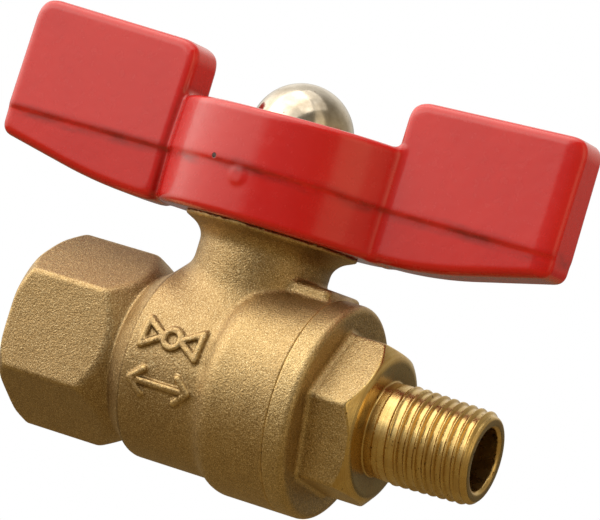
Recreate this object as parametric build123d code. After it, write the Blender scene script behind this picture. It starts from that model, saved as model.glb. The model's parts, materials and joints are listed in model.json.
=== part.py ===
"""Two-piece brass ball valve: 1/2 in. female hex inlet, 1/4 in. male outlet, butterfly handle.

Flow runs along +X from the centre of the inlet mouth, which is the origin. The stem rises
along +Z. The valve is open, so the handle's wings lie along the pipe. Millimetres.
"""

from build123d import *
import math
import os

os.makedirs("parts", exist_ok=True)

# ---- valve body -------------------------------------------------------------------------
STEM_X = 30.0             # inlet mouth to stem axis
INLET_FLATS = 25.0        # across the flats of the inlet hexagon
INLET_CORNER_ROUND = 1.2
INLET_MOUTH_R = 12.9      # turned face of the inlet hexagon
INLET_CHAMFER_X = 2.4
INLET_CORNER_R = INLET_FLATS / math.sqrt(3) + 0.2
INLET_HEX_END = STEM_X - 16.5
NECK_X = STEM_X - 12.9    # bottom of the groove between the hexagon and the ball chamber
NECK_R = 11.9
NECK_FLOOR = 0.2
BARREL_R = 14.0           # outside of the ball chamber, where the raised marks are
BARREL_X = STEM_X - 9.9   # where the chamber's full outside begins
RING_R = 15.5             # thicker ring that holds the end connector
RING_SLOPE = (STEM_X + 2.2, STEM_X + 4.2)
SEAM_X = STEM_X + 14.1    # joint between the body and the end connector
PAD_TOP_Z = 16.3          # raised pad on top of the ring
PAD_HALF_Y = 6.0
PAD_MIDDLE_X = STEM_X + 7.0
PAD_LENGTH = 13.0
PAD_CORNER_R = 1.5
PAD_EDGE_ROUND = 0.8
BONNET_R = 9.8
BONNET_FOOT_R = 10.9      # the bonnet flares where it rises out of the chamber
BONNET_FOOT_Z = 12.8
BONNET_FLARE_Z = 15.2
FLANGE_R = 12.6           # stop flange under the handle
FLANGE_TOP_Z = 21.3
FLANGE_RIM_Z = 20.9
FLANGE_ROOT_Z = 19.4

# ---- waterway ---------------------------------------------------------------------------
BALL_R = 9.5
PORT_R = 5.0
INLET_BORE_R = 9.2        # crest of the 1/2 in. tapered pipe thread
INLET_BORE_X = 13.6
MOUTH_CHAMFER = 0.5
CHAMBER_R = 11.0
CHAMBER_HALF = 7.2        # chamber end, measured from the stem axis towards the inlet
SEAT_OUTER_R = 9.0
SEAT_BACK = 9.6           # back face of each seat ring, from the stem axis
SEAT_FRONT = 6.0
SEAT_GAP = 0.05
JOINT_R = 12.4            # pitch of the thread between body and end connector
JOINT_START = STEM_X + 6.5
JOINT_SEAL_T = 0.8

# ---- end connector ----------------------------------------------------------------------
COLLAR_END_X = STEM_X + 17.6
OUTLET_FLATS = 21.0
OUTLET_HEX_TURN = -8.5    # the outlet hexagon stops 8.5 degrees short of square
OUTLET_HEX_START = STEM_X + 18.0
OUTLET_HEX_END = STEM_X + 24.9
OUTLET_CORNER_R = OUTLET_FLATS / math.sqrt(3)
OUTLET_BACK_R = 11.3       # chamfer towards the collar
OUTLET_BACK_H = 0.6
OUTLET_FACE_R = 10.3       # wider chamfer towards the thread
OUTLET_FACE_H = 1.7
OUTLET_CORNER_ROUND = 0.6
OUTLET_ROOT_R = 10.4       # foot of the collar's inner corner
OUTLET_SHOULDER_R = 9.4
OUTLET_THREAD_R = 6.9     # mean crest of the 1/4 in. tapered pipe thread
THREAD_START_X = STEM_X + 27.0
THREAD_RUNOUT = 0.6
OUTLET_TIP_X = STEM_X + 40.6
TIP_CHAMFER = 0.9
UNDERCUT_R = 6.7
OUTLET_BORE_R = 4.5

# ---- stem, packing and nuts ---------------------------------------------------------------
STEM_R = 4.75
STEM_FLATS = 7.2          # across the two flats that carry the handle
STEM_SHOULDER_Z = 24.9
STEM_TOP_Z = 38.4
STEM_COLLAR_R = 6.0
STEM_COLLAR_Z = 9.65
STEM_COLLAR_TOP_Z = 11.55
COLLAR_POCKET_R = 6.2
THRUST_WASHER_Z = 11.6
THRUST_SHOULDER_Z = 12.5
TANG_T = 4.0
TANG_HALF_Y = 3.6
TANG_Z = 6.5
SLOT_T = 4.2
SLOT_FLOOR_Z = 6.3
STEM_BORE_R = 4.8         # running clearance of 0.05 on the stem
DRIVE_GAP = 0.05          # between the stem's flats and the handle's hole
WASHER_GAP = 0.15         # between the stem and the two metal washers
PACKING_R = 7.2
PACKING_Z = 14.3
PACKING_RING_H = 1.4
PACKING_RINGS = ("lower", "middle", "upper")
GLAND_FLATS = 14.0
GLAND_HEX_TOP_Z = 23.9

# ---- handle -------------------------------------------------------------------------------
HANDLE_Z = 21.6           # underside of the handle
HUB_TOP_Z = 37.3
HUB_HALF_X = 17.2
HUB_BULGE_Y = 15.2
WING_T = 9.0
WING_INNER_TOP_Z = 45.0
WING_OUTER_TOP_Z = 45.8
WING_EDGE_ROUND = 1.2
HUB_EDGE_ROUND = 0.9
# inner edge, tip, bend of the lower edge and height of the tip's lower corner, for each wing
INLET_WING = (17.9, 44.85, 25.0, 25.1)
OUTLET_WING = (16.5, 43.0, 23.0, 26.2)
WING_ROUNDS = (6, 1.6, 1.6, 1.6, 0.8)
HUB_POCKET_R = 11.0
HUB_WEB_LOW_Z = 24.9
HUB_WEB_TOP_Z = 28.0
GLAND_POCKET_R = 9.3
STOP_INNER_R = 10.0
STOP_OUTER_R = 12.4
STOP_WIDTH = 3.0
STOP_TOP_Z = 24.3
STOP_ANGLE = 45.0         # where the stop lug stands, from +X towards +Y
STOP_TRAVEL = 90.0
STOP_MARGIN = 9.0         # lug half width plus running room, in degrees
STOP_GROOVE_R = 12.7

# ---- washers and dome nut -----------------------------------------------------------------
FLAT_WASHER_R = 9.4
FLAT_WASHER_T = 1.2
SPRING_WASHER_R = 8.0
SPRING_WASHER_T = 1.8
SPRING_WASHER_GAP = 1.0
NUT_FLATS = 15.0
NUT_Z = HUB_WEB_TOP_Z + FLAT_WASHER_T + SPRING_WASHER_T
NUT_HEX_H = 5.0
DOME_R = 7.4
DOME_CENTRE_Z = 36.2
DOME_CROWN_R = 0.4        # small flat at the very top of the dome
NUT_THREAD_TOP_Z = 39.6
NUT_THREAD_R = STEM_R + 0.02
NUT_SEAT_R = NUT_FLATS / 2 + 0.4
NUT_CHAMFER_H = 0.9
NUT_CHAMFER_R = NUT_FLATS / 2 + 1.6

STEM_AXIS = Axis((STEM_X, 0, 0), (0, 0, 1))


def turned_on_flow(points, radii=0.0):
    """A solid turned about the flow axis from a closed (x, radius) outline."""
    outline = Plane.XZ * FilletPolyline(*points, radius=radii, close=True)
    return revolve(make_face(outline), axis=Axis.X)


def turned_on_stem(points, radii=0.0):
    """A solid turned about the stem axis from a closed (radius, z) outline."""
    shifted = [(STEM_X + r, z) for r, z in points]
    outline = Plane.XZ * FilletPolyline(*shifted, radius=radii, close=True)
    return revolve(make_face(outline), axis=STEM_AXIS)


def flow_cylinder(radius, x0, x1):
    """A plain cylinder on the flow axis from x0 to x1."""
    return extrude(Plane.YZ.offset(x0) * Circle(radius), amount=x1 - x0)


def stem_cylinder(radius, z0, z1):
    """A plain cylinder on the stem axis from z0 to z1."""
    return extrude(Plane((STEM_X, 0, z0)) * Circle(radius), amount=z1 - z0)


def stem_ring(inner, outer, z0, z1):
    return stem_cylinder(outer, z0, z1) - stem_cylinder(inner, z0 - 1, z1 + 1)


def flow_hexagon(flats, x0, x1, turn, corner_round):
    """A hexagonal bar on the flow axis; a turn of 30 puts two corners up and down."""
    section = RegularPolygon(flats / 2, 6, major_radius=False, rotation=turn)
    section = fillet(section.vertices(), corner_round)
    return extrude(Plane.YZ.offset(x0) * section, amount=x1 - x0)


def stem_hexagon(flats, z0, z1):
    section = RegularPolygon(flats / 2, 6, major_radius=False, rotation=15)
    return extrude(Plane((STEM_X, 0, z0)) * section, amount=z1 - z0)


def double_d(radius, flats, z0, z1):
    """A round bar on the stem axis with two flats that face the pipe's sides."""
    bar = stem_cylinder(radius, z0, z1)
    slab = Pos(STEM_X, 0, (z0 + z1) / 2) * Box(4 * radius, flats, z1 - z0)
    return bar & slab


def body_casting():
    hex_bar = flow_hexagon(INLET_FLATS, 0, NECK_X, 30, INLET_CORNER_ROUND)
    hex_limits = turned_on_flow(
        [
            (0, 0),
            (0, INLET_MOUTH_R),
            (INLET_CHAMFER_X, INLET_CORNER_R),
            (INLET_HEX_END, INLET_CORNER_R),
            (NECK_X, NECK_R),
            (NECK_X, 0),
        ],
        [0, 0.6, 0.6, 1.0, 0, 0],
    )
    barrel = turned_on_flow(
        [
            (INLET_HEX_END, 0),
            (INLET_HEX_END, NECK_R),
            (NECK_X + NECK_FLOOR, NECK_R),
            (BARREL_X, BARREL_R),
            (RING_SLOPE[0], BARREL_R),
            (RING_SLOPE[1], RING_R),
            (SEAM_X, RING_R),
            (SEAM_X, 0),
        ],
        [0, 0, 0.2, 1.0, 1.5, 1.5, 0.2, 0],
    )
    bonnet = turned_on_stem(
        [
            (0, 5),
            (BONNET_FOOT_R, 5),
            (BONNET_FOOT_R, BONNET_FOOT_Z),
            (BONNET_R, BONNET_FLARE_Z),
            (BONNET_R, FLANGE_ROOT_Z),
            (FLANGE_R, FLANGE_RIM_Z),
            (FLANGE_R, FLANGE_TOP_Z),
            (0, FLANGE_TOP_Z),
        ]
    )
    pad = extrude(
        Plane((PAD_MIDDLE_X, 0, 0)) * RectangleRounded(PAD_LENGTH, 2 * PAD_HALF_Y, PAD_CORNER_R),
        amount=PAD_TOP_Z,
    )
    pad = fillet(pad.faces().sort_by(Axis.Z)[-1].edges(), PAD_EDGE_ROUND)
    stop = stem_ring(STOP_INNER_R, STOP_OUTER_R, FLANGE_TOP_Z - 0.5, STOP_TOP_Z)
    stop_bar = Pos(STEM_X, 0, 0) * Rot(0, 0, STOP_ANGLE) * Pos(STOP_OUTER_R, 0, FLANGE_TOP_Z)
    stop = stop & (stop_bar * Box(2 * STOP_OUTER_R, STOP_WIDTH, 2 * STOP_OUTER_R))
    shape = (hex_bar & hex_limits) + barrel + bonnet + pad + stop

    waterway = turned_on_flow(
        [
            (-1, 0),
            (-1, INLET_BORE_R + MOUTH_CHAMFER + 1),
            (MOUTH_CHAMFER, INLET_BORE_R),
            (INLET_BORE_X, INLET_BORE_R),
            (INLET_BORE_X + 1.6, PORT_R),
            (STEM_X - SEAT_BACK, PORT_R),
            (STEM_X - SEAT_BACK, SEAT_OUTER_R),
            (STEM_X - CHAMBER_HALF, SEAT_OUTER_R),
            (STEM_X - CHAMBER_HALF, CHAMBER_R),
            (JOINT_START, CHAMBER_R),
            (JOINT_START, JOINT_R),
            (SEAM_X + 1, JOINT_R),
            (SEAM_X + 1, 0),
        ]
    )
    stem_way = turned_on_stem(
        [
            (0, 0),
            (COLLAR_POCKET_R, 0),
            (COLLAR_POCKET_R, THRUST_SHOULDER_Z),
            (STEM_BORE_R, THRUST_SHOULDER_Z),
            (STEM_BORE_R, PACKING_Z),
            (PACKING_R, PACKING_Z),
            (PACKING_R, FLANGE_TOP_Z + 1),
            (0, FLANGE_TOP_Z + 1),
        ]
    )
    return shape - waterway - stem_way


def end_connector():
    spigot_x = JOINT_START + JOINT_SEAL_T
    turned = turned_on_flow(
        [
            (spigot_x, 0),
            (spigot_x, JOINT_R),
            (SEAM_X, JOINT_R),
            (SEAM_X, RING_R),
            (COLLAR_END_X, RING_R),
            (OUTLET_HEX_START, OUTLET_ROOT_R),
            (OUTLET_HEX_END, OUTLET_SHOULDER_R),
            (OUTLET_HEX_END, UNDERCUT_R),
            (THREAD_START_X, UNDERCUT_R),
            (THREAD_START_X + THREAD_RUNOUT, OUTLET_THREAD_R),
            (OUTLET_TIP_X - TIP_CHAMFER, OUTLET_THREAD_R),
            (OUTLET_TIP_X, OUTLET_THREAD_R - TIP_CHAMFER),
            (OUTLET_TIP_X, 0),
        ],
        [0, 0, 0, 0.2, 1.2, 0, 0, 0, 0, 0, 0, 0, 0],
    )
    hex_bar = flow_hexagon(
        OUTLET_FLATS, COLLAR_END_X, OUTLET_HEX_END, OUTLET_HEX_TURN, OUTLET_CORNER_ROUND
    )
    hex_limits = turned_on_flow(
        [
            (COLLAR_END_X, 0),
            (COLLAR_END_X, OUTLET_BACK_R),
            (OUTLET_HEX_START + OUTLET_BACK_H, OUTLET_CORNER_R),
            (OUTLET_HEX_END - OUTLET_FACE_H, OUTLET_CORNER_R),
            (OUTLET_HEX_END, OUTLET_FACE_R),
            (OUTLET_HEX_END, 0),
        ]
    )
    waterway = turned_on_flow(
        [
            (spigot_x - 1, 0),
            (spigot_x - 1, SEAT_OUTER_R),
            (STEM_X + SEAT_BACK, SEAT_OUTER_R),
            (STEM_X + SEAT_BACK, OUTLET_BORE_R),
            (OUTLET_TIP_X - 0.4, OUTLET_BORE_R),
            (OUTLET_TIP_X + 1, OUTLET_BORE_R + 1.4),
            (OUTLET_TIP_X + 1, 0),
        ]
    )
    return turned + (hex_bar & hex_limits) - waterway


def body_joint_seal():
    ring = flow_cylinder(JOINT_R, JOINT_START, JOINT_START + JOINT_SEAL_T)
    return ring - flow_cylinder(CHAMBER_R, JOINT_START - 1, JOINT_START + 3)


def seat_ring(side):
    """One soft seat; side is -1 at the inlet and +1 at the outlet."""
    cup_r = BALL_R + SEAT_GAP

    def place(reach, r):
        return (STEM_X + side * reach, r)

    bore_reach = math.sqrt(cup_r**2 - PORT_R**2)
    lip_r = math.sqrt(cup_r**2 - SEAT_FRONT**2)
    middle = math.atan2(lip_r + PORT_R, SEAT_FRONT + bore_reach)
    cup = ThreePointArc(
        place(SEAT_FRONT, lip_r),
        place(cup_r * math.cos(middle), cup_r * math.sin(middle)),
        place(bore_reach, PORT_R),
    )
    rest = Polyline(
        place(bore_reach, PORT_R),
        place(SEAT_BACK, PORT_R),
        place(SEAT_BACK, SEAT_OUTER_R),
        place(SEAT_FRONT, SEAT_OUTER_R),
        place(SEAT_FRONT, lip_r),
    )
    return revolve(Plane.XZ * make_face([cup, rest]), axis=Axis.X)


def ball():
    reach = math.sqrt(BALL_R**2 - PORT_R**2)
    left, right = (STEM_X - reach, PORT_R), (STEM_X + reach, PORT_R)
    outline = [ThreePointArc(left, (STEM_X, BALL_R), right), Line(right, left)]
    sphere = revolve(Plane.XZ * make_face(outline), axis=Axis.X)
    slot_h = BALL_R - SLOT_FLOOR_Z + 1
    slot = Pos(STEM_X, 0, SLOT_FLOOR_Z + slot_h / 2) * Box(SLOT_T, 3 * BALL_R, slot_h)
    return sphere - slot


def stem():
    tang_h = STEM_COLLAR_Z - TANG_Z + 0.2
    tang = Pos(STEM_X, 0, TANG_Z + tang_h / 2) * Box(TANG_T, 2 * TANG_HALF_Y, tang_h)
    collar = stem_cylinder(STEM_COLLAR_R, STEM_COLLAR_Z, STEM_COLLAR_TOP_Z)
    shank = stem_cylinder(STEM_R, STEM_COLLAR_Z, STEM_SHOULDER_Z)
    driven = double_d(STEM_R, STEM_FLATS, STEM_SHOULDER_Z, STEM_TOP_Z)
    return tang + collar + shank + driven


def stem_thrust_washer():
    return stem_ring(STEM_BORE_R, STEM_COLLAR_R, THRUST_WASHER_Z, THRUST_SHOULDER_Z)


def packing_ring(index):
    low = PACKING_Z + index * PACKING_RING_H
    return stem_ring(STEM_BORE_R, PACKING_R, low, low + PACKING_RING_H)


def packing_gland_nut():
    low = PACKING_Z + len(PACKING_RINGS) * PACKING_RING_H
    nut = stem_cylinder(PACKING_R, low, FLANGE_TOP_Z)
    nut = nut + stem_hexagon(GLAND_FLATS, FLANGE_TOP_Z, GLAND_HEX_TOP_Z)
    return nut - stem_cylinder(STEM_BORE_R, low - 1, GLAND_HEX_TOP_Z + 1)


def stop_groove():
    """The quarter-turn groove in the handle's underside that the stop lug runs in."""
    start = math.radians(STOP_ANGLE - STOP_MARGIN)
    end = math.radians(STOP_ANGLE + STOP_TRAVEL + STOP_MARGIN)
    middle = (start + end) / 2
    reach = 3 * STOP_GROOVE_R
    corners = [(reach * math.cos(a), reach * math.sin(a)) for a in (start, middle, end)]
    wedge = make_face(Polyline((0, 0), *corners, close=True))
    low = HANDLE_Z - 1
    wedge = extrude(Plane((STEM_X, 0, low)) * wedge, amount=HUB_WEB_LOW_Z - low)
    return wedge & stem_cylinder(STOP_GROOVE_R, low, HUB_WEB_LOW_Z)


def wing_corners(inner, tip, bend, tip_low):
    """One wing's side view, out along its lower edge and back over the top to the hub."""
    return [
        (bend, HANDLE_Z),
        (tip, tip_low),
        (tip, WING_OUTER_TOP_Z),
        (inner, WING_INNER_TOP_Z),
        (inner, HUB_TOP_Z - 1),
    ]


def handle():
    half_t = WING_T / 2
    hub_plan = make_face(
        [
            ThreePointArc((-HUB_HALF_X, -half_t), (0, -HUB_BULGE_Y), (HUB_HALF_X, -half_t)),
            Line((HUB_HALF_X, -half_t), (HUB_HALF_X, half_t)),
            ThreePointArc((HUB_HALF_X, half_t), (0, HUB_BULGE_Y), (-HUB_HALF_X, half_t)),
            Line((-HUB_HALF_X, half_t), (-HUB_HALF_X, -half_t)),
        ]
    )
    hub = extrude(Plane((STEM_X, 0, HANDLE_Z)) * hub_plan, amount=HUB_TOP_Z - HANDLE_Z)
    hub = fillet(hub.faces().filter_by(Axis.Z).edges(), HUB_EDGE_ROUND)

    right = wing_corners(*OUTLET_WING)
    left = [(-x, z) for x, z in reversed(wing_corners(*INLET_WING))]
    rounds = WING_ROUNDS + WING_ROUNDS[::-1]
    outline = FilletPolyline(*right, *left, radius=list(rounds), close=True)
    profile = Plane((STEM_X, half_t, 0), x_dir=(1, 0, 0), z_dir=(0, -1, 0)) * make_face(outline)
    wings = extrude(profile, amount=WING_T)
    wings = fillet(wings.faces().filter_by(Axis.Y).edges(), WING_EDGE_ROUND)

    shape = hub + wings
    shape = shape - stem_cylinder(HUB_POCKET_R, HUB_WEB_TOP_Z, HUB_TOP_Z + 1)
    shape = shape - stem_cylinder(GLAND_POCKET_R, HANDLE_Z - 1, HUB_WEB_LOW_Z)
    shape = shape - stop_groove()
    return shape - double_d(
        STEM_R + DRIVE_GAP, STEM_FLATS + 2 * DRIVE_GAP, HUB_WEB_LOW_Z - 1, HUB_WEB_TOP_Z + 1
    )


def flat_washer():
    return stem_ring(
        STEM_R + WASHER_GAP, FLAT_WASHER_R, HUB_WEB_TOP_Z, HUB_WEB_TOP_Z + FLAT_WASHER_T
    )


def spring_lock_washer():
    low = HUB_WEB_TOP_Z + FLAT_WASHER_T
    ring = stem_ring(STEM_R + WASHER_GAP, SPRING_WASHER_R, low, low + SPRING_WASHER_T)
    gap = Pos(STEM_X + SPRING_WASHER_R, 0, low + SPRING_WASHER_T / 2)
    return ring - gap * Box(2 * SPRING_WASHER_R - 4, SPRING_WASHER_GAP, 2 * SPRING_WASHER_T)


def dome_nut():
    base = stem_hexagon(NUT_FLATS, NUT_Z, NUT_Z + NUT_HEX_H)
    chamfer = turned_on_stem(
        [
            (0, NUT_Z),
            (NUT_SEAT_R, NUT_Z),
            (NUT_CHAMFER_R, NUT_Z + NUT_CHAMFER_H),
            (NUT_CHAMFER_R, NUT_Z + NUT_HEX_H - NUT_CHAMFER_H),
            (NUT_FLATS / 2, NUT_Z + NUT_HEX_H),
            (0, NUT_Z + NUT_HEX_H),
        ]
    )
    foot, middle = (STEM_X + DOME_R, NUT_Z + 1), (STEM_X + DOME_R, DOME_CENTRE_Z)
    crown_z = DOME_CENTRE_Z + math.sqrt(DOME_R**2 - DOME_CROWN_R**2)
    crown = (STEM_X + DOME_CROWN_R, crown_z)
    sides = Polyline(crown, (STEM_X, crown_z), (STEM_X, NUT_Z + 1), foot, middle)
    over = RadiusArc(middle, crown, -DOME_R)
    dome = revolve(Plane.XZ * make_face([sides, over]), axis=STEM_AXIS)
    thread = stem_cylinder(NUT_THREAD_R, NUT_Z - 1, NUT_THREAD_TOP_Z)
    return (base & chamfer) + dome - thread


def main():
    pieces = {
        "body_casting": body_casting(),
        "end_connector": end_connector(),
        "body_joint_seal": body_joint_seal(),
        "inlet_seat_ring": seat_ring(-1),
        "outlet_seat_ring": seat_ring(1),
        "ball": ball(),
        "stem": stem(),
        "stem_thrust_washer": stem_thrust_washer(),
        "packing_gland_nut": packing_gland_nut(),
        "handle": handle(),
        "flat_washer": flat_washer(),
        "spring_lock_washer": spring_lock_washer(),
        "dome_nut": dome_nut(),
    }
    for index, place in enumerate(PACKING_RINGS):
        pieces[f"packing_ring_{place}"] = packing_ring(index)
    for name, piece in pieces.items():
        export_step(piece, f"parts/{name}.step")
        print(name, round(piece.volume, 1), "mm3")


main()
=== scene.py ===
"""Looks of the brass ball valve: forged body, machined outlet, coated handle, plated nut.

The visible shells are cut from signed distance functions, in millimetres in the CAD frame, and
turned into meshes. Everything inside keeps its CAD mesh and gets a finish.
"""

import json
import math

import bpy
import numpy as np
from mathutils import Matrix, Vector


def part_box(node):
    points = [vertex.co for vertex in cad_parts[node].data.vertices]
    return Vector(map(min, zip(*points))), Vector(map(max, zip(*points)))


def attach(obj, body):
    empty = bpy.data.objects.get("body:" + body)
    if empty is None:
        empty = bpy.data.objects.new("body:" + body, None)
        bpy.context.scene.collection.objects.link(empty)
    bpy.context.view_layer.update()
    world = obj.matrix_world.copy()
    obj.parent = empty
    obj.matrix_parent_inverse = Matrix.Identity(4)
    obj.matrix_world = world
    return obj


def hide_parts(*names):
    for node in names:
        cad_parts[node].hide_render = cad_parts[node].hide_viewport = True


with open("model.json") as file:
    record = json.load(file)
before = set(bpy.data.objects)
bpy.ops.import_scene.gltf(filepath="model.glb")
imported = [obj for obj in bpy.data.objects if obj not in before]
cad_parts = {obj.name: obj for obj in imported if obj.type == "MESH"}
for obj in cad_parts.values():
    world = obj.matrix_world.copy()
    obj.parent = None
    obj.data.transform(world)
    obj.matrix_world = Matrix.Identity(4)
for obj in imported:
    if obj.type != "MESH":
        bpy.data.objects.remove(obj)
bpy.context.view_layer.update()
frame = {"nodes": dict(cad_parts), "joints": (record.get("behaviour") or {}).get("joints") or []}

MM = 0.001


def corners(node):
    """Lowest and highest corner of a CAD node, in millimetres."""
    low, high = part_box(node)
    return np.array(low) / MM, np.array(high) / MM


BODY_LOW, BODY_HIGH = corners("body_casting")
END_LOW, END_HIGH = corners("end_connector")
HANDLE_LOW, HANDLE_HIGH = corners("handle")
NUT_LOW, NUT_HIGH = corners("dome_nut")
WASHER_LOW, WASHER_HIGH = corners("flat_washer")
STEM_X = frame["joints"][0]["pos_m"][0] / MM

# ---- valve body, millimetres; S is the distance from the stem axis along the flow ---------
# A point on a turned profile is (S, radius), or (x, radius) at the inlet's mouth.
INLET_FLATS = 25.0
INLET_HEX_END = (-16.37, 14.45)
MOUTH_CHAMFER = ((0, 12.8), (1.9, 14.6))
MOUTH_OFF_CENTRE = 0.25
RING_R = 15.49
RING_FOOT = (1.8, 13.7)
RING_EDGE_S = 4.3
RING_OFF_CENTRE = 0.05
SEAM_S = BODY_HIGH[0] - STEM_X
NECK_S = -12.8
NECK_R = 11.75
SHOULDER_S = -9.8
BARREL_R = 14.0
BARREL_END_S = 6
MARK_RISE = 0.6
# Painted light: over this stretch along the flow, the forged brass runs from its shaded colour to
# its bright one.
PAINTED_LIGHT_S = (-4, 6)
BONNET_R = 9.6
BONNET_Z = (6, 20.8)
FLANGE_R = 12.6
FLANGE_Z = (21.1, 21.54)
FLANGE_CONE_R = 9.6
FLANGE_CONE_Z = 19.7
PAD_TOP = 16.25
PAD_LOW = 9
PAD_HALF = 6.0
PAD_S = (0.5, 13.8)
LUG_R = 11.2
LUG_HALF_R = 1.2
LUG_HALF_W = 1.5
LUG_Z = (20.9, 24.3)
INLET_BORE_R = 9.2
INLET_BORE_END = 13.6
INLET_COUNTERSINK = ((0, 10.9), (1.3, 9.6))
INLET_THREAD_DEPTH = 1.15
INLET_THREAD_RUNOUT = 3
INLET_THREAD_STEEP = 1.8
FUNNEL_LENGTH = 1.6
PORT_R = 5.0
PORT_END_S = -7
CHAMBER_R = 11.0
CHAMBER_S = (-7.2, 6.5)
SEAT_R = 9.0
SEAT_BACK = 9.6
SEAT_END_S = -6
JOINT_R = 12.4
STEM_BORE_R = 4.8
STEM_COLLAR_BORE_R = 6.2
STEM_COLLAR_TOP = 12.5
PACKING_BORE_R = 7.2
PACKING_FLOOR = 14.3
INLET_PITCH = 25.4 / 14
OUTLET_PITCH = 25.4 / 18
NPT_TAPER = 1 / 32

# ---- end connector ---------------------------------------------------------------------
COLLAR_END_S = 17.6
COLLAR_TILT = 0.015
OUTLET_FLATS = 21.2
OUTLET_TURN = math.radians(21.5)
OUTLET_HEX_END = 25.0
OUTLET_HEX_PROFILE = [(17.3, 11.6), (18.0, 12.3), (23.1, 12.3), (OUTLET_HEX_END, 10.1), (24.9, 0)]
HEX_ROOT_R = 9.7
HEX_ROOT_S = (16, 20)
SHANK_R = 6.75
SHANK_S = (20, 30)
THREAD_START_S = 26.5
THREAD_S = 27.2
THREAD_FADE = 0.9
TIP_S = END_HIGH[0] - STEM_X
TIP_CREST_R = 6.66
THREAD_DEPTH = 0.45
THREAD_STEEP = 1.7
TIP_CHAMFER = ((TIP_S - 0.8, 6.7), (TIP_S, 5.9))
OUTLET_BORE_R = 4.5
OUTLET_COUNTERSINK = ((TIP_S - 0.5, 4.4), (TIP_S + 0.5, 5.3))

# ---- handle ----------------------------------------------------------------------------
HUB_TOP = 37.3
HUB_TOP_SLOPE = 0.03
HUB_BULGE = 15.2
WING_EDGE = 1.5
WING_HALF_T = 4.5
# Of each wing: root, bend of the underside, its height there and at the tip, cut top corners.
INLET_WING = (17.8, 26.2, 21.3, 25.1, 1.2)
OUTLET_WING = (16.4, 24.2, 21.7, 26.1, 0.8)
INLET_BEVEL = 0.6
OUTLET_BEVEL = 1.9
BEVEL_TURN = math.radians(25)
WING_TOP_DROP = 0.8
WING_ROOT_LEAN = 0.15
PARTING_Z = 29.0
MISMATCH = 0.11
MISMATCH_STEP = 0.35
PARTING_LINE_DROP = 0.2
DRAFT = 0.03
HUB_END_S = 17.4
HUB_END_HALF_T = 4.25
BLISTER = (-0.8, 27.5)
BLISTER_R = 1.3
BLISTER_RISE = 0.16
PINHOLE = (-5.3, 29.35)
PINHOLE_R = 0.3
WEB_LOW = 24.9
WEB_TOP = 28.0
POCKET_R = 11.0
GLAND_POCKET_R = 9.3
STOP_GROOVE_R = 12.7
STOP_GROOVE_HALF = math.radians(54)

# ---- stem and dome nut -------------------------------------------------------------------
STEM_R = 4.75
STEM_FLATS = 7.2
NUT_FLATS = 15.0
NUT_THREAD_TOP = 39.6
DOME_R = 7.5
DOME_OFF_CENTRE = 0.2


# ---- distance functions --------------------------------------------------------------------
def union(a, b, blend):
    """Joins two shapes with a fillet about as wide as blend."""
    near = np.maximum(blend - np.abs(a - b), 0) / blend
    return np.minimum(a, b) - near * near * blend / 4


def both(a, b, blend):
    """What two shapes share, with its edges rounded."""
    return -union(-a, -b, blend)


def beyond(u, v, start, end):
    """Distance to the left of the line from start to end."""
    du, dv = end[0] - start[0], end[1] - start[1]
    length = math.hypot(du, dv)
    return ((v - start[1]) * du - (u - start[0]) * dv) / length


def convex(u, v, points, blend):
    """A convex outline given clockwise, each side as a half plane."""
    shape = beyond(u, v, points[0], points[1])
    for start, end in zip(points[1:], points[2:]):
        shape = both(shape, beyond(u, v, start, end), blend)
    return shape


def hexagon(u, v, flats, turn, blend):
    """A long hexagonal bar, with its first flat facing the angle turn."""
    shape = None
    for index in range(3):
        angle = turn + index * math.pi / 3
        side = np.abs(u * math.cos(angle) + v * math.sin(angle)) - flats / 2
        shape = side if shape is None else both(shape, side, blend)
    return shape


def stroke(u, v, start, end, width):
    """A straight raised line."""
    du, dv = end[0] - start[0], end[1] - start[1]
    along = ((u - start[0]) * du + (v - start[1]) * dv) / (du * du + dv * dv)
    along = np.clip(along, 0, 1)
    return np.hypot(u - start[0] - along * du, v - start[1] - along * dv) - width / 2


def helix(x, y, z, pitch):
    """0 in a thread's root and 1 on its crest, with a rounded top."""
    turn = np.arctan2(z, y) / (2 * math.pi)
    phase = x / pitch - turn
    saw = np.abs(2 * (phase - np.floor(phase)) - 1)
    ridge = np.clip((saw - 0.42) / 0.5, 0, 1)
    return ridge * ridge * (3 - 2 * ridge) * 0.5 + ridge * 0.5


# ---- body ----------------------------------------------------------------------------------
def flow_marks(s, z):
    """A valve symbol over a two-way arrow, in place of any lettering."""
    width, centre, half = 1.05, -3.5, 4.3
    top, low = 3.4, -3.4
    circle_r, apex_s, fan = 1.25, 1.3, 1.9
    barb_s, barb_z = 1.6, 1.7
    overrun, inset = 0.3, 0.4
    lines = []
    for side in (-1, 1):
        apex = (centre + side * apex_s, top)
        outer = centre + side * half
        lines += [((outer, top - fan), (outer, top + fan))]
        lines += [((outer, top + fan), apex), ((outer, top - fan), apex)]
        tip = (centre + side * (half + overrun), low)
        back = centre + side * (half - barb_s)
        lines += [((back, low + barb_z), tip), ((back, low - barb_z), tip)]
    lines += [((centre - half + inset, low), (centre + half - inset, low))]
    marks = np.abs(np.hypot(s - centre, z - top) - circle_r) - width / 2
    for start, end in lines:
        marks = np.minimum(marks, stroke(s, z, start, end, width))
    return marks


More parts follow.
